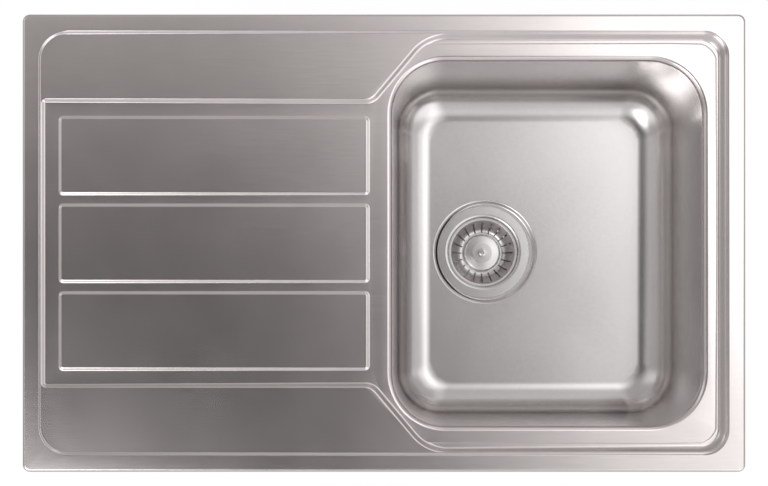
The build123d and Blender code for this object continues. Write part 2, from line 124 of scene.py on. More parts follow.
round_steps = 8
quarter = radians(90)
under_half = 0.49
close = mm / 20
merge_gap = mm / 50
hair = mm / 100


def floor_height(x):
    """Height of the drainer's sloping floor at x."""
    return rim_top - floor_depth_left - floor_fall * (x + press_x)


plateau_z = floor_height(plateau_left)


def bend(share):
    """Height passed at a share of the way across a pressed step: two rounded bends, a slope between."""
    if share < bend_share:
        return share ** 2 / (2 * bend_share * (1 - bend_share))
    if share > 1 - bend_share:
        return 1 - bend(1 - share)
    return (share - bend_share / 2) / (1 - bend_share)


def plateau_core(x, y):
    """The nearest point of the plateau's core, which its rounded edge runs round."""
    reach = plateau_half - plateau_corner
    return min(x, plateau_right - plateau_corner), max(-reach, min(y, reach))


def gutter_step(x):
    """Width of the plateau's edge, which grows with its height above the gutter."""
    return gutter_least + plateau_z - floor_height(x)


def ground(x, y):
    """Height of the pressed floor: the drainer, and beyond it the gutter and the plateau."""
    if x < plateau_left:
        return floor_height(x)
    core_x, core_y = plateau_core(x, y)
    outside = hypot(x - core_x, y - core_y) - plateau_corner
    fall = plateau_z - floor_height(x)
    return plateau_z - fall * bend(max(0, min(1, outside / gutter_step(x))))


def deselect():
    """Leave nothing selected, so that the next operator works on new geometry only."""
    bpy.ops.object.select_all(action="DESELECT")


def only(piece):
    """Make a piece the one that the next operator works on."""
    deselect()
    piece.select_set(True)
    bpy.context.view_layer.objects.active = piece


def open_mesh():
    """Open the active piece's mesh."""
    bpy.ops.object.mode_set(mode="EDIT")


def close_mesh():
    """Close the open piece."""
    bpy.ops.object.mode_set(mode="OBJECT")


def take_all():
    """Select the whole open mesh."""
    bpy.ops.mesh.select_all(action="SELECT")


def at(corner):
    """A key that names a corner by its place."""
    return tuple(round(number, 8) for number in corner.co)


def corners_of(mesh):
    """The open outline's corners, each with the step that moves it one unit inwards."""
    face = next(face for face in mesh.faces if face.select)
    inward = {}
    for loop in face.loops:
        here = loop.vert.co
        along = [(here - loop.link_loop_prev.vert.co).xy, (loop.link_loop_next.vert.co - here).xy]
        sides = [Vector((-way.y, way.x)).normalized() for way in along]
        step = (sides[0] + sides[1]) / (1 + sides[0].dot(sides[1]))
        inward[at(loop.vert)] = (here.copy(), Vector((step.x, step.y, 0)))
    return inward


def rings(places):
    """Inset the selected face once per place, and lay each new ring where place(corner, inward) says."""
    data = bpy.context.edit_object.data
    outer = corners_of(bmesh.from_edit_mesh(data))
    for place in places:
        bpy.ops.mesh.inset(thickness=hair, depth=0)
        mesh = bmesh.from_edit_mesh(data)
        inner = list(next(face for face in mesh.faces if face.select).verts)
        ring = []
        for corner in inner:
            ends = [edge.other_vert(corner) for edge in corner.link_edges]
            before = next(end for end in ends if end not in inner)
            ring.append(outer[at(before)])
        outer = {}
        for corner, source in zip(inner, ring):
            corner.co = place(*source)
            outer[at(corner)] = source
        bmesh.update_edit_mesh(data)


def across(put, first=1, count=round_steps):
    """The places of the rings across a step, from put(corner, inward, share of the way)."""
    return [
        lambda corner, inward, share=number / count: put(corner, inward, share)
        for number in range(first, count + 1)
    ]


def folded(radius, level, side, steps):
    """The places of the rings that fold an outline up to a level, inwards for 1, outwards for -1."""
    return [
        lambda corner, inward, turn=quarter * step / steps: Vector((
            corner.x + side * inward.x * radius * (1 - cos(turn)),
            corner.y + side * inward.y * radius * (1 - cos(turn)),
            level - radius * (1 - sin(turn)),
        ))
        for step in range(steps + 1)
    ]


def open_new(name, kind):
    """Name the new piece and open its mesh, with all of its corners or faces selected."""
    made = bpy.context.object
    made.name = name
    bpy.ops.object.transform_apply()
    open_mesh()
    bpy.ops.mesh.select_mode(type=kind)
    take_all()
    return made


def flat_plate(name, low, high, z, radius, far_radius=None):
    """A face at height z between two corners, with round corners, left open in edit mode."""
    deselect()
    middle = ((low[0] + high[0]) / 2, (low[1] + high[1]) / 2, z)
    bpy.ops.mesh.primitive_plane_add(size=1, location=middle)
    bpy.context.object.scale = (high[0] - low[0], high[1] - low[1], 1)
    near_end = under_half * (high[0] - low[0])
    plate = open_new(name, "VERT")
    for side, corner in ((-1, radius), (1, far_radius or radius)):
        bpy.ops.mesh.select_all(action="DESELECT")
        mesh = bmesh.from_edit_mesh(plate.data)
        for vert in mesh.verts:
            vert.select = len(vert.link_edges) == 2 and side * (vert.co.x - middle[0]) > near_end
        bpy.ops.mesh.bevel(offset=corner, segments=2 * round_steps, affect="VERTICES")
    bpy.ops.mesh.select_mode(type="FACE")
    take_all()
    return plate


def close_piece():
    """Drop the face that the rings ended on, and close the piece."""
    bpy.ops.mesh.delete(type="ONLY_FACE")
    close_mesh()


def ringed(piece, places):
    """Ring the open piece's face inwards and close the piece without it."""
    rings(places)
    close_piece()
    return piece


def drop_faces(piece, test):
    """Delete the faces that have a corner at a place that passes the test."""
    open_mesh()
    bpy.ops.mesh.select_mode(type="FACE")
    bpy.ops.mesh.select_all(action="DESELECT")
    for face in bmesh.from_edit_mesh(piece.data).faces:
        face.select = any(test(corner.co) for corner in face.verts)
    bpy.ops.mesh.delete(type="FACE")
    close_mesh()


def turned_edge():
    """The rim's edge: up from its cut lip and over the fold."""
    edge = flat_plate("deck_edge", deck_low.xy, deck_high.xy, edge_gap, outline_corner)
    return ringed(edge, folded(edge_fold, rim_top, 1, edge_steps))


def wing_step():
    """The first step down from the rim, wide along the wings and narrow round the bowl."""
    step = flat_plate(
        "deck_wings", (-press_x, -press_y), (press_x, press_y), rim_top,
        press_corner_drainer, press_corner_bowl,
    )
    wide, narrow, at_left = 4.2 * mm, 2.2 * mm, 1.9 * mm
    start, end = 15 * mm, 75 * mm

    def put(corner, inward, share):
        near_bowl = max(0, min(1, (corner.x - start) / (end - start)))
        width = wide + (narrow - wide) * near_bowl
        if corner.x < 0:
            width += (at_left - wide) * max(0, inward.x) ** 2
        spot = corner + inward * width * share
        spot.z = rim_top + (wing_z - rim_top) * bend(share)
        return spot

    return ringed(step, across(put))


def first_point(name, place):
    """A new piece of one corner at a place, left open in edit mode."""
    deselect()
    bpy.ops.mesh.primitive_plane_add(size=mm, location=place)
    made = open_new(name, "VERT")
    made.data.name = name
    bpy.ops.mesh.merge(type="CENTER")
    return made


def draw(x, y, z=0):
    """Carry the outline's end on by a straight move."""
    bpy.ops.mesh.extrude_region_move(TRANSFORM_OT_translate={"value": (x, y, z)})


def draw_round(turn, x, y):
    """Carry the outline's end on round a centre at rim level."""
    bpy.ops.mesh.spin(steps=2 * round_steps, angle=-turn, center=(x, y, rim_top), axis=(0, 0, 1))


def well_outline():
    """Edge of the drainer and bowl well at rim level, as one face open in edit mode."""
    outer, inner = flare_bend_outer, flare_bend_inner
    bends = (outer + inner) * (1 - cos(flare_angle))
    slant = (well_y - drainer_half - bends) / sin(flare_angle)
    bend_x = flare_x + outer * tan(flare_angle / 2)
    well = first_point("deck_well", (well_x, 0, rim_top))
    draw(0, well_y - well_corner)
    draw_round(quarter, well_x - well_corner, well_y - well_corner)
    run = well_x - well_corner - bend_x
    for number in range(round_steps):
        draw(-run / round_steps, 0)
    draw_round(flare_angle, bend_x, well_y - outer)
    for number in range(round_steps):
        draw(-slant * cos(flare_angle) / round_steps, -slant * sin(flare_angle) / round_steps)
    inner_x = bend_x - (outer + inner) * sin(flare_angle) - slant * cos(flare_angle)
    draw_round(-flare_angle, inner_x, drainer_half + inner)
    draw(-well_x + drainer_corner - inner_x, 0)
    draw_round(quarter, -well_x + drainer_corner, drainer_half - drainer_corner)
    draw(0, -drainer_half + drainer_corner)
    take_all()
    bpy.ops.mesh.duplicate()
    bpy.ops.transform.mirror(constraint_axis=(False, True, False), center_override=(0, 0, rim_top))
    take_all()
    bpy.ops.mesh.remove_doubles(threshold=hair)
    bpy.ops.mesh.edge_face_add()
    bpy.ops.mesh.select_mode(type="FACE")
    take_all()
    mesh = bmesh.from_edit_mesh(well.data)
    mesh.faces.ensure_lookup_table()
    mesh.normal_update()
    if mesh.faces[0].normal.z < 0:
        bpy.ops.mesh.flip_normals()
    return well


def well_wall():
    """The wall down from the wings to the drainer, the gutter and the plateau."""
    well = well_outline()
    top_in = 1.2 * mm
    spread = 1.6 * mm
    gutter_rings = 5
    attempts = 4

    def foot(corner, inward):
        run = top_in
        for attempt in range(attempts):
            spot = corner + inward * run
            run = top_in + wing_z - ground(spot.x, spot.y) + spread
        return corner + inward * run

    def wall(corner, inward, share):
        low = foot(corner, inward)
        spot = (corner + inward * top_in).lerp(low, share)
        spot.z = wing_z + (ground(low.x, low.y) - wing_z) * bend(share)
        return spot

    def climb(corner, inward, share):
        low = foot(corner, inward)
        low.z = ground(low.x, low.y)
        if low.x < plateau_left:
            return low
        core = Vector((*plateau_core(low.x, low.y), 0))
        out = Vector((low.x - core.x, low.y - core.y, 0))
        past = out.length - plateau_corner
        if past <= 0:
            return low
        left = min(past, gutter_step(low.x) * (1 - share))
        spot = core + out.normalized() * (plateau_corner + left)
        spot.z = ground(spot.x, spot.y)
        return spot

    rings(across(wall, 0) + across(climb, 0, gutter_rings))
    bpy.ops.mesh.bisect(plane_co=(plateau_left, 0, 0), plane_no=(1, 0, 0))
    mesh = bmesh.from_edit_mesh(well.data)
    for face in mesh.faces:
        face.select = len(face.verts) > round_steps
    close_piece()
    drop_faces(well, lambda corner: corner.z > wing_z + hair)
    return well


def raised_panel(number):
    """One of the drainer's raised panels, with soft sloping sides."""
    spread = 1.35 * mm
    middle = (number - 1) * panel_pitch
    skirt = panel_height + spread
    low = (panel_left - skirt, middle - panel_width / 2 - skirt)
    high = (panel_right + skirt, middle + panel_width / 2 + skirt)
    panel = flat_plate("deck_panel", low, high, 2 * rim_top, panel_corner + skirt)
    width = panel_height + 2 * spread

    def put(corner, inward, share):
        spot = corner + inward * width * share
        spot.z = floor_height(spot.x) + panel_height * bend(share)
        return spot

    rings(across(put, 0))
    close_mesh()
    drop_faces(panel, lambda corner: corner.z > rim_top)
    return panel


def bowl_outline(name):
    """The bowl's opening as a face at the height of its weld, open in edit mode."""
    low = (bowl_x - bowl_half_length, -bowl_half_width)
    high = (bowl_x + bowl_half_length, bowl_half_width)
    return flat_plate(name, low, high, bowl_high.z, bowl_corner)


def bowl_opening():
    """The plateau's inner edge: a fold down into the short collar that the bowl is welded to."""
    return ringed(bowl_outline("deck_opening"), folded(bowl_fold, plateau_z, -1, round_steps))


def fill_between(deck, wanted):
    """Fill the flat ground between the open edges whose two ends both pass the test."""
    open_mesh()
    bpy.ops.mesh.select_mode(type="EDGE")
    bpy.ops.mesh.select_all(action="DESELECT")
    mesh = bmesh.from_edit_mesh(deck.data)
    for edge in mesh.edges:
        if len(edge.link_faces) < 2 and all(wanted(end.co) for end in edge.verts):
            edge.select = True
    bpy.ops.mesh.fill(use_beauty=True)
    close_mesh()


def join(parts, name):
    """Make one mesh of several, with shared corners merged."""
    only(parts[0])
    for part in parts[1:]:
        part.select_set(True)
    bpy.ops.object.join()
    joined = parts[0]
    joined.name = name
    joined.data.name = name
    open_mesh()
    take_all()
    bpy.ops.mesh.remove_doubles(threshold=merge_gap)
    close_mesh()
    return joined


def face_up(piece, height, gap=close):
    """Make the normals agree, with the level face at a height pointing up."""
    open_mesh()
    take_all()
    bpy.ops.mesh.normals_make_consistent(inside=False)
    mesh = bmesh.from_edit_mesh(piece.data)
    mesh.normal_update()
    level = next(face for face in mesh.faces if all(abs(end.co.z - height) < gap for end in face.verts))
    if level.normal.z < 0:
        bpy.ops.mesh.flip_normals()
    close_mesh()


def modify(piece, kind, **settings):
    """Add a modifier with the given settings and apply it."""
    modifier = piece.modifiers.new(kind.lower(), kind)
    for name, value in settings.items():
        setattr(modifier, name, value)
    only(piece)
    bpy.ops.object.modifier_apply(modifier=modifier.name)


def give_wall(piece, thickness):
    """Give an open skin the sheet's thickness, away from the side that its faces point to."""
    modify(piece, "SOLIDIFY", thickness=thickness, offset=-1, use_even_offset=True)


def smooth(piece, angle=35):
    """Shade bends smooth and cut edges sharp, with flat faces kept flat."""
    only(piece)
    bpy.ops.object.shade_smooth_by_angle(angle=radians(angle))
    modify(piece, "WEIGHTED_NORMAL", keep_sharp=True)


panels = [raised_panel(number) for number in range(3)]
deck = join([turned_edge(), wing_step(), well_wall(), bowl_opening()] + panels, "deck_skin")
fill_between(deck, lambda spot: abs(spot.z - rim_top) < close)
fill_between(deck, lambda spot: abs(spot.z - wing_z) < close)
fill_between(deck, lambda spot: abs(spot.z - floor_height(spot.x)) < close and spot.x < plateau_left + close)
fill_between(deck, lambda spot: abs(spot.z - plateau_z) < close and spot.x > plateau_left - close)
face_up(deck, rim_top)
give_wall(deck, sheet)
smooth(deck)
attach(deck, "sink")
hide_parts("drainboard_deck")

# ---- Satin steel
# Sheet brushed fine along the drainer, polished on the turned waste parts. The group gives each
# steel its streaks, its faint patches and the height of its grain.


def add(tree, kind, links=None, **settings):
    """Add a node, set it up and link or set its inputs by name or number."""
    made = tree.nodes.new("ShaderNode" + kind)
    for name, value in settings.items():
        setattr(made, name, value)
    for name, value in (links or {}).items():
        if isinstance(value, bpy.types.NodeSocket):
            tree.links.new(value, made.inputs[name])
        else:
            made.inputs[name].default_value = value
    return made


def reckon(tree, operation, first, second):
    """One sum on two values or sockets."""
    return add(tree, "Math", {0: first, 1: second}, operation=operation).outputs[0]


def steel_grain():
    """Node group: streaks drawn out along one axis, faint cloudy patches and the grain's height."""
    group = bpy.data.node_groups.new("steel_grain", "ShaderNodeTree")
    for name, kind, side in (
        ("Place", "Vector", "INPUT"), ("Lines", "Vector", "INPUT"), ("Colour", "Color", "INPUT"),
        ("Contrast", "Float", "INPUT"), ("Roughness", "Float", "INPUT"),
        ("Colour", "Color", "OUTPUT"), ("Roughness", "Float", "OUTPUT"), ("Height", "Float", "OUTPUT"),
    ):
        group.interface.new_socket(name=name, in_out=side, socket_type="NodeSocket" + kind)
    given = group.nodes.new("NodeGroupInput").outputs
    end = group.nodes.new("NodeGroupOutput").inputs
    drawn = add(group, "VectorMath", {0: given["Place"], 1: given["Lines"]}, operation="MULTIPLY")
    streaks = add(group, "TexNoise", {"Vector": drawn.outputs[0], "Scale": 1.0, "Detail": 3.0})
    patches = add(group, "TexNoise", {"Vector": given["Place"], "Scale": 14.0, "Detail": 3.0})
    both = reckon(group, "ADD", streaks.outputs["Fac"], patches.outputs["Fac"])
    centred = reckon(group, "ADD", both, -1.0)
    swing = reckon(group, "MULTIPLY", centred, given["Contrast"])
    lift = reckon(group, "ADD", swing, 1.0)
    tinted = add(group, "VectorMath", {0: given["Colour"], "Scale": lift}, operation="SCALE")
    group.links.new(tinted.outputs[0], end["Colour"])
    group.links.new(reckon(group, "MULTIPLY", lift, given["Roughness"]), end["Roughness"])
    group.links.new(streaks.outputs["Fac"], end["Height"])
    return group


grain_group = steel_grain()


def surface(name, colour, roughness, lines, contrast, depth, metallic=1.0):
    """A finish with the given colour, gloss, streaks per metre along each axis and grain depth."""
    material = bpy.data.materials.new(name)
    material.use_nodes = True
    tree = material.node_tree
    shader = tree.nodes["Principled BSDF"]
    shader.inputs["Metallic"].default_value = metallic
    place = add(tree, "TexCoord").outputs["Object"]
    grain = add(tree, "Group", {
        "Place": place, "Lines": lines, "Colour": colour, "Contrast": contrast, "Roughness": roughness,
    }, node_tree=grain_group).outputs
    bump = add(tree, "Bump", {"Height": grain["Height"], "Strength": 0.5, "Distance": depth})
    tree.links.new(grain["Colour"], shader.inputs["Base Color"])
    tree.links.new(grain["Roughness"], shader.inputs["Roughness"])
    tree.links.new(bump.outputs["Normal"], shader.inputs["Normal"])
    return material


def finish(piece, material):
    """Give a piece its one material."""
    piece.data.materials.clear()
    piece.data.materials.append(material)


finish(deck, surface("deck_steel", (0.73, 0.68, 0.675, 1), 0.21, (40, 900, 900), 0.12, 0.0015 * mm))

# ---- Bowl
# Deep-drawn in one piece from the same steel, with a wide radius round its floor and a shallow
# recess pressed for the waste. Its top edge is butt-welded to the deck's collar and ground flush.
bowl_floor = rim_top - 160.0 * mm
bowl_draft = radians(3.8)
floor_fillet = 36.0 * mm
floor_corner = 24.0 * mm
left_foot = 4.5 * mm
cup_low, cup_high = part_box("strainer_cup")
waste_x = (cup_low.x + cup_high.x) / 2
recess_x = waste_x + 2.2 * mm
recess_outer = 62.8 * mm
recess_inner = 57.2 * mm
recess_z = bowl_floor - 3.0 * mm
waste_hole = 45.0 * mm
disc_steps = 96


def shrunk(corner, inside, down, wall_in, floor_in):
    """A point of the bowl's outline moved in and down; the corners close up less than the walls do."""
    share = max(0, (inside - wall_in) / (floor_in - wall_in))
    radius = bowl_corner - min(inside, wall_in) - (bowl_corner - wall_in - floor_corner) * share
    side_x = 1 if corner.x > bowl_x else -1
    side_y = 1 if corner.y > 0 else -1
    turn = Vector((
        corner.x - bowl_x - side_x * (bowl_half_length - bowl_corner),
        corner.y - side_y * (bowl_half_width - bowl_corner), 0,
    )) / bowl_corner
    centre = Vector((
        bowl_x + side_x * (bowl_half_length - inside - radius) + (left_foot * share if side_x < 0 else 0),
        side_y * (bowl_half_width - inside - radius),
        corner.z - down,
    ))
    return centre + turn * radius


def bowl_wall():
    """Wall and rounded foot of the bowl, ring by ring down to the floor."""
    wall = bowl_outline("bowl_wall")
    depth = bowl_high.z - bowl_floor
    lean = quarter - bowl_draft
    tangent = floor_fillet * tan(lean / 2)
    wall_foot = depth - tangent * cos(bowl_draft)
    wall_in = wall_foot * tan(bowl_draft)
    spots = [(share * wall_in, share * wall_foot) for share in (0.25, 0.5, 0.75, 1)]
    centre_in = depth * tan(bowl_draft) + tangent
    for number in range(1, 2 * round_steps + 1):
        turn = lean * (1 - number / (2 * round_steps))
        spots.append((centre_in - floor_fillet * sin(turn), depth - floor_fillet * (1 - cos(turn))))
    return ringed(wall, [
        lambda corner, inward, spot=spot: shrunk(corner, *spot, wall_in, centre_in) for spot in spots
    ])


def disc(name, x, radius, z):
    """A round face with fine sides, left open in edit mode."""
    deselect()
    bpy.ops.mesh.primitive_circle_add(
        vertices=disc_steps, radius=radius, fill_type="NGON", location=(x, 0, z),
    )
    return open_new(name, "FACE")


def recess():
    """The sloped step down to the waste's flat ground."""
    made = disc("bowl_recess", recess_x, recess_outer, bowl_floor)

    def put(corner, inward, share):
        placed = corner + inward * (recess_outer - recess_inner) * share
        placed.z = bowl_floor + (recess_z - bowl_floor) * bend(share)
        return placed

    return ringed(made, across(put))


def hole_edge():
    """Edge of the waste hole, as a loose ring."""
    return ringed(disc("bowl_hole", waste_x, waste_hole, recess_z), [])


bowl = join([bowl_wall(), recess(), hole_edge()], "bowl_skin")
fill_between(bowl, lambda spot: abs(spot.z - bowl_floor) < close)
fill_between(bowl, lambda spot: abs(spot.z - recess_z) < close)
face_up(bowl, bowl_floor)
give_wall(bowl, sheet)
smooth(bowl)
finish(bowl, surface("bowl_steel", (0.66, 0.635, 0.63, 1), 0.23, (300, 300, 60), 0.1, 0.004 * mm))
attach(bowl, "sink")
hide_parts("bowl")

# ---- Strainer cup
# A polished steel cup that hangs in the bowl's hole by its wide flange. A ledge carries the
# basket, and three spokes under the outlet hold the hub for the screw that clamps the waste.
mirror_steel = surface("mirror_steel", (0.62, 0.6, 0.595, 1), 0.28, (120, 120, 40), 0.12, 0.002 * mm)
sheet_cup = 1.0 * mm
flange_radius = (cup_high.x - cup_low.x) / 2
mouth_radius = 42.0 * mm
lip_z = cup_high.z
mouth_z = lip_z - 1.0 * mm
ledge_radius = 39.6 * mm
ledge_z = mouth_z - 5.2 * mm
cup_foot = 37.5 * mm
cup_floor = mouth_z - 32.4 * mm
outlet_radius = 20.0 * mm
tiny = mm / 1000


def run_along(outline):
    """Carry the open piece's one corner along an outline of (x, z) points."""
    for start, end in zip(outline, outline[1:]):
        draw(end[0] - start[0], 0, end[1] - start[1])
    take_all()
    bpy.ops.mesh.remove_doubles(threshold=tiny)
    take_all()


def close_solid():
    """Merge doubled corners, point the faces outwards and close the piece."""
    take_all()
    bpy.ops.mesh.remove_doubles(threshold=tiny)
    bpy.ops.mesh.normals_make_consistent(inside=False)
    close_mesh()


def turned(name, x, profile):
    """Spin a closed outline of (radius, height) points round the upright axis at x."""
    made = first_point(name, (x + profile[0][0], 0, profile[0][1]))
    run_along(profile)
    bpy.ops.mesh.spin(steps=disc_steps, angle=2 * pi, center=(x, 0, 0), axis=(0, 0, 1))
    close_solid()
    return made


def rounded(points, steps=4):
    """A closed outline from (radius, height, bend) corners, each bend worked out as an arc."""
    line = []
    for number, (r, z, size) in enumerate(points):
        here = Vector((r, z))
        if size == 0:
            line.append(tuple(here))
            continue
        before = Vector(points[number - 1][:2]) - here
        after = Vector(points[(number + 1) % len(points)][:2]) - here
        size = min(size, under_half * before.length, under_half * after.length)
        first = here + before.normalized() * size
        last = here + after.normalized() * size
        for step in range(steps + 1):
            share = step / steps
            line.append(tuple(first * (1 - share) ** 2 + here * 2 * share * (1 - share) + last * share ** 2))
    return line + line[:1]


edge_drop = 1.0 * mm
lip_rise = 0.15 * mm
lip_fall = 0.1 * mm
cup = turned("strainer_cup_form", waste_x, rounded([
    (flange_radius - 1.2 * mm, lip_z - edge_drop, 0.4 * mm),
    (flange_radius, lip_z - edge_drop, 0.3 * mm),
    (flange_radius - 0.3 * mm, lip_z - lip_fall, 0.8 * mm),
    (mouth_radius + 2.6 * mm, lip_z + lip_rise, 1.5 * mm),
    (mouth_radius, mouth_z, 1.2 * mm),
    (mouth_radius, ledge_z, 0.5 * mm),
    (ledge_radius, ledge_z, 0.8 * mm),
    (cup_foot, cup_floor, 5 * mm),
    (outlet_radius, cup_floor, 0.6 * mm),
    (outlet_radius, cup_floor - sheet_cup, 0.2 * mm),
    (cup_foot + sheet_cup, cup_floor - sheet_cup, 5 * mm),
    (ledge_radius + sheet_cup, ledge_z - sheet_cup, 0.8 * mm),
    (mouth_radius + sheet_cup, ledge_z - sheet_cup, 0.5 * mm),
    (mouth_radius + sheet_cup, mouth_z - sheet_cup, 0.8 * mm),
    (flange_radius - 1.6 * mm, lip_z - lip_fall - sheet_cup, 0.6 * mm),
]))


def collar(name, x, radii, heights, inner_bend, outer_bend):
    """A turned ring between two radii and two heights, with its edges rounded."""
    (inner, outer), (low, high) = radii, heights
    return turned(name, x, rounded([
        (inner, low, inner_bend), (outer, low, outer_bend),
        (outer, high, outer_bend), (inner, high, inner_bend),
    ]))


def bar(low, high, turn, round_edge, centre_x=waste_x):
    """A straight bar between two corners beside the waste's axis, turned about it, with soft edges."""
    deselect()
    bpy.ops.mesh.primitive_cube_add(size=1, location=(
        centre_x + (low[0] + high[0]) / 2, (low[1] + high[1]) / 2, (low[2] + high[2]) / 2,
    ))
    made = bpy.context.object
    made.scale = (high[0] - low[0], high[1] - low[1], high[2] - low[2])
    bpy.ops.object.transform_apply()
    open_mesh()
    take_all()
    bpy.ops.mesh.bevel(offset=round_edge, segments=2, affect="EDGES")
    bpy.ops.transform.rotate(value=-turn, orient_axis="Z", center_override=(centre_x, 0, 0))
    close_mesh()
    return made


spoke_count = 3
spoke_half = 1.5 * mm
spoke_end = outlet_radius + 0.8 * mm
spoke_root = outlet_radius - 2.4 * mm
hub_radius = 7.5 * mm
hub_height = 3.0 * mm
screw_radius = 3.2 * mm
spoke_low = cup_low.z
spokes = [
    bar((near, -spoke_half, spoke_low), (spoke_end, spoke_half, top),
        2 * pi * number / spoke_count, 0.3 * mm)
    for near, top in ((screw_radius, spoke_low + hub_height), (spoke_root, cup_floor - sheet_cup / 2))
    for number in range(spoke_count)
]
hub = collar(
    "cup_hub", waste_x, (screw_radius, hub_radius), (spoke_low, spoke_low + hub_height), 0.2 * mm, 0.4 * mm,
)
cup = join([cup, hub] + spokes, "strainer_cup_form")
smooth(cup)
finish(cup, mirror_steel)
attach(cup, "sink")
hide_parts("strainer_cup")

# ---- Strainer basket
# Pressed from thin steel: a rolled rim that sits on the cup's ledge, a round wall with twenty
# slots, a groove, and the dome in the middle that carries the stem.
basket_low, basket_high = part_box("strainer_basket")
basket_sheet = 0.8 * mm
basket_rim = (basket_high.x - basket_low.x) / 2
rim_high = basket_high.z
wall_top = 38.6 * mm
groove_radius = 24.6 * mm
groove_z = basket_low.z + basket_sheet
dome_radius = 22.5 * mm
dome_flat = 12.5 * mm
dome_z = groove_z + 8.0 * mm
stem_hole = 2.6 * mm
wall_steps = 10
wall_power = 2.2
slot_count = 20
slot_width = 1.5 * mm
slot_near = 25.0 * mm
slot_far = 36.6 * mm
slot_depth = 12 * mm
slot_height = 21 * mm


def basket_form():
    """The turned basket before its slots are cut: round wall, groove and shouldered dome."""
    skin = [(basket_rim, rim_high, 0)]
    for number in range(wall_steps + 1):
        share = 1 - number / wall_steps
        out = groove_radius + (wall_top - groove_radius) * share
        skin.append((out, groove_z + (rim_high - groove_z) * share ** wall_power, 0.7 * mm))
    skin += [
        (dome_radius, groove_z, 0.9 * mm),
        (dome_radius - 1.0 * mm, groove_z + 6.3 * mm, 1.6 * mm),
        (dome_flat + 2.0 * mm, groove_z + 7.35 * mm, 1.0 * mm),
        (dome_flat, groove_z + 7.7 * mm, 1.0 * mm),
        (stem_hole, dome_z, 0),
    ]
    return turned("basket_form", waste_x, rounded(skin, steps=3)[:-1])


basket = basket_form()
face_up(basket, rim_high, hair)
give_wall(basket, basket_sheet)


def take_out(piece, cutter):
    """Cut the cutter's shape out of the piece."""
    modify(piece, "BOOLEAN", operation="DIFFERENCE", solver="EXACT", object=cutter)
    bpy.data.objects.remove(cutter)


def slot_cutter():
    """Twenty blocks round the waste's axis, in one piece."""
    slots = []
    middle = (slot_near + slot_far) / 2
    for number in range(slot_count):
        turn = 2 * pi * number / slot_count
        deselect()
        bpy.ops.mesh.primitive_cube_add(
            size=1, location=(waste_x + middle * cos(turn), middle * sin(turn), rim_high - slot_depth),
            rotation=(0, 0, turn), scale=(slot_far - slot_near, slot_width, slot_height),
        )
        bpy.ops.object.transform_apply()
        slots.append(bpy.context.object)
    return join(slots, "slot_cutter")


take_out(basket, slot_cutter())
smooth(basket)
finish(basket, surface("basket_steel", (0.66, 0.64, 0.635, 1), 0.3, (120, 120, 40), 0.12, 0.002 * mm))
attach(basket, "basket")
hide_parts("strainer_basket")

# ---- Basket stem
# Turned from bar: a knob with a low crown and a dimple on top, and a thin shank that carries the
# washer and the stopper under the dome.
stem_low, stem_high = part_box("basket_stem")
knob_radius = (stem_high.x - stem_low.x) / 2
knob_top = stem_high.z
knob_low = dome_z + 0.05 * mm
shank_radius = 2.5 * mm
crown_radius = knob_radius * 0.97
crown_height = 0.7 * mm
crown_steps = 6
dimple_radius = 2.0 * mm
dimple_depth = 1.6 * mm
crown = []
for step in range(crown_steps + 1):
    across_knob = crown_radius + (dimple_radius - crown_radius) * step / crown_steps
    knob_fall = crown_height * (across_knob / crown_radius) ** 2
    crown.append((across_knob, knob_top - knob_fall, 0.5 * mm if step == crown_steps else 0))
stem = turned("stem_form", waste_x, rounded([
    (0, stem_low.z, 0),
    (shank_radius, stem_low.z, 0.3 * mm),
    (shank_radius, knob_low, 0),
    (knob_radius * 0.9, knob_low, 0.4 * mm),
    (knob_radius * 0.66, dome_z + 3.0 * mm, 1.2 * mm),
    (knob_radius, knob_top - 3.4 * mm, 0.8 * mm),
    (knob_radius, knob_top - crown_height, 0.3 * mm),
] + crown + [
    (dimple_radius * 0.6, knob_top - dimple_depth, 0.5 * mm),
    (0, knob_top - dimple_depth, 0),
]))
smooth(stem, 50)
finish(stem, mirror_steel)
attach(stem, "basket")
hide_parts("basket_stem")

# ---- Stopper and washer
# Black rubber disc that shuts the outlet when the basket is down, and the steel disc behind it.
rubber = surface("black_rubber", (0.022, 0.022, 0.023, 1), 0.6, (400, 400, 400), 0.3, 0.03 * mm, 0.0)
stopper_low, stopper_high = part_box("basket_stopper")
stopper_radius = (stopper_high.x - stopper_low.x) / 2
stopper = turned("stopper_form", waste_x, rounded([
    (shank_radius, stopper_low.z, 0),
    (stopper_radius - 3 * mm, stopper_low.z, 0.5 * mm),
    (stopper_radius, stopper_low.z + 1.2 * mm, 0.6 * mm),
    (stopper_radius, stopper_high.z - 0.4 * mm, 0.4 * mm),
    (stopper_radius - 2 * mm, stopper_high.z, 0.6 * mm),
    (shank_radius, stopper_high.z, 0),
]))
smooth(stopper)
finish(stopper, rubber)
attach(stopper, "basket")
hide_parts("basket_stopper")
finish(cad_pieces["stem_washer"], mirror_steel)

# ---- Seals under the bowl
# A soft ring squeezed between the bowl and the waste body, and the thin one under the flange.
gasket_low, gasket_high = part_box("under_gasket")
gasket_radius = (gasket_high.x - gasket_low.x) / 2
gasket_width = 10 * mm
gasket = collar(
    "gasket_form", waste_x, (gasket_radius - gasket_width, gasket_radius), (gasket_low.z, gasket_high.z),
    0.5 * mm, 1.2 * mm,
)
smooth(gasket, 50)
finish(gasket, rubber)
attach(gasket, "sink")
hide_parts("under_gasket")
finish(cad_pieces["flange_seal"], rubber)

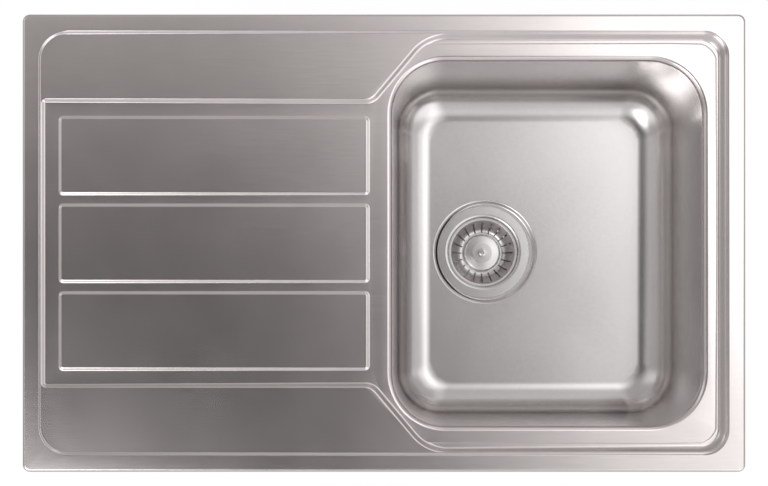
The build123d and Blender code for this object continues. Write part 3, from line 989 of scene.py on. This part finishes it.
# ---- Waste body
# A moulded black funnel: a flange with gussets, a barrel, a cone, and an outlet with a coarse
# thread for the trap's nut. Three ribs inside hold the hub with the brass insert.
plastic = surface("black_plastic", (0.03, 0.03, 0.032, 1), 0.42, (900, 900, 900), 0.2, 0.02 * mm, 0.0)
body_low, body_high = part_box("waste_body")
body_radius = (body_high.x - body_low.x) / 2
barrel_inner = 44.5 * mm
barrel_outer = 47.0 * mm
flange_low = body_high.z - 3.5 * mm
shoulder_z = body_high.z - 30 * mm
cone_low = shoulder_z - 20 * mm
outlet_outer = 23.9 * mm
outlet_bore = 20.5 * mm
thread_pitch = 3.0 * mm
thread_depth = 1.1 * mm
thread_top = cone_low - 2.0 * mm
thread_count = 5
gusset_count = 12
gusset_half = 1 * mm
rib_count = 3
rib_half = 1.5 * mm
hub_bore = 5 * mm
hub_outer = 8 * mm
body_hub_low = cone_low + 2.5 * mm
body_hub_high = body_hub_low + 10 * mm
thread = []
for number in range(thread_count):
    start = thread_top - number * thread_pitch
    thread += [
        (outlet_outer - thread_depth, start, 0.2 * mm),
        (outlet_outer - thread_depth, start - thread_pitch * 0.45, 0.2 * mm),
        (outlet_outer, start - thread_pitch * 0.6, 0.2 * mm),
        (outlet_outer, start - thread_pitch * 0.85, 0.2 * mm),
    ]
body_shell = turned("waste_body_form", waste_x, rounded([
    (barrel_inner, body_high.z, 0.4 * mm),
    (body_radius, body_high.z, 0.6 * mm),
    (body_radius, flange_low, 0.8 * mm),
    (barrel_outer, flange_low, 1.5 * mm),
    (barrel_outer, shoulder_z, 5 * mm),
    (outlet_outer, cone_low, 3 * mm),
] + thread + [
    (outlet_outer - thread_depth, body_low.z, 0.6 * mm),
    (outlet_bore, body_low.z, 0.5 * mm),
    (outlet_bore, cone_low, 3 * mm),
    (barrel_inner, shoulder_z, 5 * mm),
], steps=3))
gussets = [
    bar((barrel_outer - 1 * mm, -gusset_half, flange_low - 12 * mm),
        (barrel_outer + 3.5 * mm, gusset_half, flange_low + 0.5 * mm),
        2 * pi * (number + 0.5) / gusset_count, 0.35 * mm)
    for number in range(gusset_count)
]
ribs = [
    bar((hub_bore - 1 * mm, -rib_half, body_hub_low), (outlet_bore + 4.5 * mm, rib_half, body_hub_high),
        2 * pi * number / rib_count, 0.4 * mm)
    for number in range(rib_count)
]
body_hub = collar(
    "waste_hub", waste_x, (hub_bore, hub_outer), (body_hub_low, body_hub_high), 0.3 * mm, 0.6 * mm,
)
waste_body = join([body_shell, body_hub] + gussets + ribs, "waste_body_form")
smooth(waste_body)
finish(waste_body, plastic)
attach(waste_body, "sink")
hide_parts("waste_body")
brass = surface("brass", (0.72, 0.53, 0.25, 1), 0.3, (200, 200, 900), 0.15, 0.01 * mm)
finish(cad_pieces["threaded_insert"], brass)
finish(cad_pieces["centre_screw"], mirror_steel)

# ---- Foam seal, sound pads and earth tag
# Grey foam strip under the rim, dark damping sheets under the drainer and the bowl, and the
# plain steel angle for the earth wire. Their CAD shapes stay and get their finishes here.
foam = surface("grey_foam", (0.17, 0.17, 0.18, 1), 0.9, (900, 900, 900), 0.6, 0.25 * mm, 0.0)
finish(cad_pieces["rim_seal"], foam)
damping = surface("damping_sheet", (0.05, 0.05, 0.052, 1), 0.75, (160, 160, 160), 0.5, 0.2 * mm, 0.0)
finish(cad_pieces["drainer_sound_pad"], damping)
finish(cad_pieces["bowl_sound_pad"], damping)
plain_steel = surface("plain_steel", (0.55, 0.55, 0.545, 1), 0.35, (60, 60, 900), 0.15, 0.01 * mm)
finish(cad_pieces["earth_tag"], plain_steel)

# ---- Clamp lugs and nuts
# Eight hat-shaped brackets bent from strip and spot-welded under the deck, each with a hexagon
# nut welded on its bridge.
zinc = surface("zinc_steel", (0.63, 0.635, 0.62, 1), 0.34, (150, 150, 150), 0.22, 0.02 * mm)
lug_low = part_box("clamp_lugs")[0].z
lug_sheet = 1.5 * mm
lug_half_width = 4.0 * mm
lug_half = 10.5 * mm
lug_foot = 6.0 * mm
nut_low = lug_low + lug_sheet
nut_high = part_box("weld_nuts")[1].z
nut_flats = 8.0 * mm
nut_radius = nut_flats / 2 / cos(radians(30))
lug_hole = 3.1 * mm
nut_bore = 2.56 * mm
bore_sides = 32
bore_over = 1.5 * (nut_high - lug_low)
clamp_count = 8


def station(number):
    """Place, outward direction and height of the deck's underside at one clamp."""
    low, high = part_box("clamp_screw_%d" % number)
    x, y = (low.x + high.x) / 2, (low.y + high.y) / 2
    if abs(y) > mm:
        outward = quarter if y > 0 else -quarter
        under = (plateau_z if x > plateau_left else wing_z) - sheet
    else:
        outward = 0.0 if x > 0 else pi
        under = (plateau_z if x > 0 else floor_height(x + lug_half_width)) - sheet
    return x, y, outward, under


def turn_to(piece, turn, place=(0, 0, 0)):
    """Turn a piece about its origin, carry it to a place and keep that as its shape."""
    only(piece)
    piece.rotation_euler = (0, 0, turn)
    piece.location = place
    bpy.ops.object.transform_apply()


def to_station(piece, number):
    """Turn a clamp part from +X to its outward direction and carry it to its station."""
    x, y, outward, under = station(number)
    turn_to(piece, outward, (x, y, 0))


def strip(name, outline, half_width, round_edge):
    """A bar with the given side outline of (x, z) points and soft edges, square to it along Y."""
    made = first_point(name, (outline[0][0], -half_width, outline[0][1]))
    run_along(outline)
    bpy.ops.mesh.edge_face_add()
    take_all()
    draw(0, 2 * half_width)
    close_solid()
    modify(made, "BEVEL", width=round_edge, segments=2, limit_method="ANGLE", angle_limit=radians(50))
    return made


def cylinder(sides, radius, low, high):
    """A prism of many sides on the upright axis, between two heights."""
    deselect()
    bpy.ops.mesh.primitive_cylinder_add(
        vertices=sides, radius=radius, depth=high - low, location=(0, 0, (low + high) / 2),
    )
    bpy.ops.object.transform_apply()
    return bpy.context.object


def clamp_lug(number):
    """One bracket with its nut."""
    under = station(number)[3]
    far = lug_half + lug_foot
    half = [
        (far, under - lug_sheet, 0.3 * mm),
        (far, under, 0.3 * mm),
        (lug_half - lug_sheet, under, 1.0 * mm),
        (lug_half - lug_sheet, nut_low, 1.0 * mm),
    ]
    outer = [(lug_half, under - lug_sheet, 1.5 * mm), (lug_half, lug_low, 2.0 * mm)]
    inner = half + [(-x, z, size) for x, z, size in half[::-1]]
    outline = rounded(inner + [(-x, z, size) for x, z, size in outer] + outer[::-1])
    made = strip("lug_form", outline, lug_half_width, 0.2 * mm)
    turn_to(made, quarter)
    nut = cylinder(6, nut_radius, nut_low, nut_high)
    open_mesh()
    take_all()
    bpy.ops.mesh.bevel(offset=0.4 * mm, segments=2, affect="EDGES")
    close_mesh()
    for piece, radius in ((made, lug_hole), (nut, nut_bore)):
        take_out(piece, cylinder(bore_sides, radius, lug_low - bore_over, nut_high + bore_over))
        to_station(piece, number)
    return made, nut


pairs = [clamp_lug(number) for number in range(1, clamp_count + 1)]
lugs = join([pair[0] for pair in pairs], "lug_forms")
nuts = join([pair[1] for pair in pairs], "nut_forms")
for piece, node in ((lugs, "clamp_lugs"), (nuts, "weld_nuts")):
    smooth(piece)
    finish(piece, zinc)
    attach(piece, "sink")
    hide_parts(node)

# ---- Clamp screws
# Threaded screws with a slotted head at the bottom, where the fitter turns them from below.
clamp_thread = 0.8 * mm
thread_steps = 16
clamp_radius = 2.5 * mm
clamp_root = 2.1 * mm
head_radius = 5.0 * mm
head_height = 3.6 * mm
slot_half = 0.6 * mm
slot_deep = 1.8 * mm


def clamp_screw(number):
    """One screw: a helical thread round a core, and a pan head with its slot."""
    low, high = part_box("clamp_screw_%d" % number)
    head_top = low.z + head_height
    turns = int((high.z - head_top) / clamp_thread) - 1
    thread = first_point("screw_thread", (clamp_root, 0, head_top))
    draw(clamp_radius - clamp_root, 0, clamp_thread / 2)
    draw(clamp_root - clamp_radius, 0, clamp_thread / 2)
    take_all()
    bpy.ops.mesh.screw(steps=thread_steps, turns=turns, center=(0, 0, 0), axis=(0, 0, 1))
    close_solid()
    core_radius = clamp_root + 0.02 * mm
    slot_floor = low.z + slot_deep
    core = turned("screw_core", 0, rounded([
        (0, slot_floor, 0),
        (slot_half, slot_floor, 0),
        (head_radius, slot_floor, 0),
        (head_radius, head_top - 0.4 * mm, 0.3 * mm),
        (head_radius - 0.6 * mm, head_top, 0.3 * mm),
        (core_radius, head_top, 0.2 * mm),
        (core_radius, high.z - 0.9 * mm, 0.3 * mm),
        (clamp_root - 0.7 * mm, high.z, 0.2 * mm),
        (0, high.z, 0),
    ]))
    head = turned("screw_head", 0, rounded([
        (0, low.z, 0),
        (head_radius - 1.0 * mm, low.z, 0.6 * mm),
        (head_radius, low.z + 0.9 * mm, 0.4 * mm),
        (head_radius, slot_floor, 0),
        (0, slot_floor, 0),
    ]))
    slot_end = 1.2 * head_radius
    groove = bar((-slot_end, -slot_half, low.z - mm), (slot_end, slot_half, slot_floor), 0, 0.1 * mm, 0)
    take_out(head, groove)
    screw = join([core, thread, head], "screw_form_%d" % number)
    to_station(screw, number)
    return screw


# ---- Clamp jaws
# Cranked jaws that swing out under the worktop: a round hub on the screw, a low arm, and a
# raised end with three teeth that bite as the screw is turned.
jaw_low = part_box("clamp_jaw_1")[0]
jaw_hub_height = 8.0 * mm
jaw_top = jaw_low.z + jaw_hub_height
jaw_thick = 3.5 * mm
jaw_flat = 16.5 * mm
jaw_reach = 34.0 * mm
jaw_rise = 14.0 * mm
jaw_tooth = 1.2 * mm
jaw_teeth = 3
jaw_hub_radius = 6.0 * mm
jaw_half_width = 4.0 * mm
jaw_bore = clamp_radius + 0.05 * mm


def clamp_jaw(number):
    """One jaw, swung in beside the deck's lug as it is packed."""
    tip = jaw_top + jaw_rise
    first = jaw_flat + 2 * jaw_thick
    pitch = (jaw_reach - first) / jaw_teeth
    teeth = []
    for tooth in range(jaw_teeth):
        start = first + tooth * pitch
        point = tip + jaw_tooth
        teeth += [(start, tip, 0), (start + pitch * 0.93, point, 0), (start + pitch, point, 0)]
    outline = rounded([
        (0, jaw_top, 0),
        (jaw_flat, jaw_top, 2.0 * mm),
        (jaw_flat + jaw_thick, tip, 1.5 * mm),
    ] + teeth + [
        (jaw_reach, tip - jaw_thick, 0.5 * mm),
        (first, tip - jaw_thick, 1.5 * mm),
        (jaw_flat + jaw_thick, jaw_top - jaw_thick, 2.0 * mm),
        (0, jaw_top - jaw_thick, 0),
    ], steps=3)
    arm = strip("jaw_arm", outline, jaw_half_width, 0.4 * mm)
    jaw_hub = collar("jaw_hub", 0, (jaw_bore, jaw_hub_radius), (jaw_low.z, jaw_top), 0.3 * mm, 0.6 * mm)
    jaw = join([arm, jaw_hub], "jaw_form_%d" % number)
    turn_to(jaw, -quarter)
    to_station(jaw, number)
    return jaw


for number in range(1, clamp_count + 1):
    for piece, body, node in (
        (clamp_screw(number), "clamp_%d", "clamp_screw_%d"), (clamp_jaw(number), "jaw_%d", "clamp_jaw_%d"),
    ):
        smooth(piece)
        finish(piece, zinc)
        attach(piece, body % number)
        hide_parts(node % number)
    finish(cad_pieces["clamp_washer_%d" % number], zinc)

# ---- Floor and light
# A plain white table top under the waste's outlet, seen white from above, and a soft sky of
# studio panels: bright to the right and in front. One large lamp adds a little shadow.
floor_z = cad_box[0].z - 1.0 * mm
table_size = 12
board_white = 0.8
glow_seen = 1.04
glow_mirrored = 0.5
glow_share = 0.92
deselect()
bpy.ops.mesh.primitive_plane_add(size=table_size, location=(0, 0, floor_z))
table_top = bpy.context.object
table_top.name = "table_top"


def between(tree, share, low, high):
    """A level part of the way from low to high."""
    return add(tree, "Mix", {0: share, 2: low, 3: high}, data_type="FLOAT").outputs[0]


def table_paint():
    """White board: plain white to the lens and in reflections, a little darker in the shadow."""
    material = bpy.data.materials.new("table_paint")
    material.use_nodes = True
    tree = material.node_tree
    tree.nodes.clear()
    path = add(tree, "LightPath").outputs
    board = add(tree, "BsdfDiffuse", {"Color": (board_white, board_white, board_white, 1)})
    strength = between(tree, path["Is Glossy Ray"], glow_seen, glow_mirrored)
    glow = add(tree, "Emission", {"Color": (1, 1, 1, 1), "Strength": strength})
    seen = reckon(tree, "MAXIMUM", path["Is Camera Ray"], path["Is Glossy Ray"])
    seen = reckon(tree, "MAXIMUM", seen, path["Is Transmission Ray"])
    share = reckon(tree, "MULTIPLY", seen, glow_share)
    lit = add(tree, "MixShader", {0: share, 1: board.outputs[0], 2: glow.outputs[0]})
    clear = add(tree, "BsdfTransparent", {"Color": (1, 1, 1, 1)})
    back = add(tree, "NewGeometry").outputs["Backfacing"]
    both = add(tree, "MixShader", {0: back, 1: lit.outputs[0], 2: clear.outputs[0]})
    add(tree, "OutputMaterial", {"Surface": both.outputs[0]})
    return material


finish(table_top, table_paint())


def ramp(tree, value, start, end, low, high):
    """Carry a value smoothly from one level to another."""
    return add(tree, "MapRange", {
        "Value": value, "From Min": start, "From Max": end, "To Min": low, "To Max": high,
    }, interpolation_type="SMOOTHSTEP").outputs[0]


def window(tree, value, rise, fall):
    """A level that comes up over one range of a value and goes down over another."""
    return reckon(tree, "MULTIPLY", ramp(tree, value, *rise, 0, 1), ramp(tree, value, *fall, 1, 0))


def spot(tree, x, y, centre_x, centre_y, radius, strength):
    """A round soft light in one direction of the sky."""
    off_x = reckon(tree, "POWER", reckon(tree, "SUBTRACT", x, centre_x), 2)
    off_y = reckon(tree, "POWER", reckon(tree, "SUBTRACT", y, centre_y), 2)
    away = reckon(tree, "SQRT", reckon(tree, "ADD", off_x, off_y), 0)
    return ramp(tree, away, 0, radius, strength, 0)


def studio():
    """A sky of soft panels: what the steel mirrors in each direction, from dark overhead to bright."""
    world = bpy.data.worlds.new("studio")
    bpy.context.scene.world = world
    world.use_nodes = True
    tree = world.node_tree
    x, y, z = add(tree, "SeparateXYZ", {0: add(tree, "TexCoord").outputs["Generated"]}).outputs
    slant = reckon(tree, "MULTIPLY_ADD", y, 0.22)
    tree.links.new(x, slant.node.inputs[2])
    right = ramp(tree, slant, -0.07, 0.35, 0, 1.62)
    across_box = window(tree, x, (-0.14, -0.24), (-0.42, -0.6))
    along_box = window(tree, y, (-0.06, -0.27), (-0.55, -0.72))
    softbox = reckon(tree, "MULTIPLY", across_box, along_box)
    panels = [
        reckon(tree, "MULTIPLY", right, ramp(tree, y, 0.15, 0.35, 1, 0.45)),
        reckon(tree, "MULTIPLY", softbox, 3.0),
        spot(tree, x, y, 0.14, 0.06, 0.13, -0.5),
        ramp(tree, y, 0.03, 0.3, 0.022, 0.48),
        ramp(tree, y, 0.38, 0.55, 0, -0.4),
        ramp(tree, y, -0.15, -0.45, 0, 0.66),
        ramp(tree, x, -0.2, -0.6, 0, 0.45),
        ramp(tree, x, 0.27, 0.55, 0, -0.95),
    ]
    level = panels[0]
    for panel in panels[1:]:
        level = reckon(tree, "ADD", level, panel)
    least = reckon(tree, "MAXIMUM", ramp(tree, x, 0.2, 0.5, 0, 0.55), ramp(tree, y, 0.3, 0.5, 0, 0.5))
    level = reckon(tree, "MAXIMUM", level, least)
    skyline = ramp(tree, y, -0.3, -0.8, 0.38, 0.7)
    above = ramp(tree, z, 0.12, 0.4, 0, 1)
    level = between(tree, above, skyline, level)
    seen = add(tree, "LightPath").outputs["Is Camera Ray"]
    level = between(tree, seen, level, 1.0)
    warmth = add(tree, "Mix", {
        "Factor": ramp(tree, level, 0.0, 0.9, 0, 1), 6: (1, 0.955, 0.94, 1), 7: (1, 1, 1, 1),
    }, data_type="RGBA").outputs[2]
    tree.links.new(warmth, tree.nodes["Background"].inputs["Color"])
    tree.links.new(level, tree.nodes["Background"].inputs["Strength"])


studio()
deselect()
key_place = Vector((1.1, 0.5, 2.0))
key_size = 1.2
key_power = 2
bpy.ops.object.light_add(type="AREA", location=key_place)
key = bpy.context.object
key.name = "key_panel"
key.data.size = key_size
key.data.energy = key_power
key.rotation_euler = key_place.to_track_quat("Z", "Y").to_euler()
bpy.context.scene.view_settings.view_transform = "Standard"
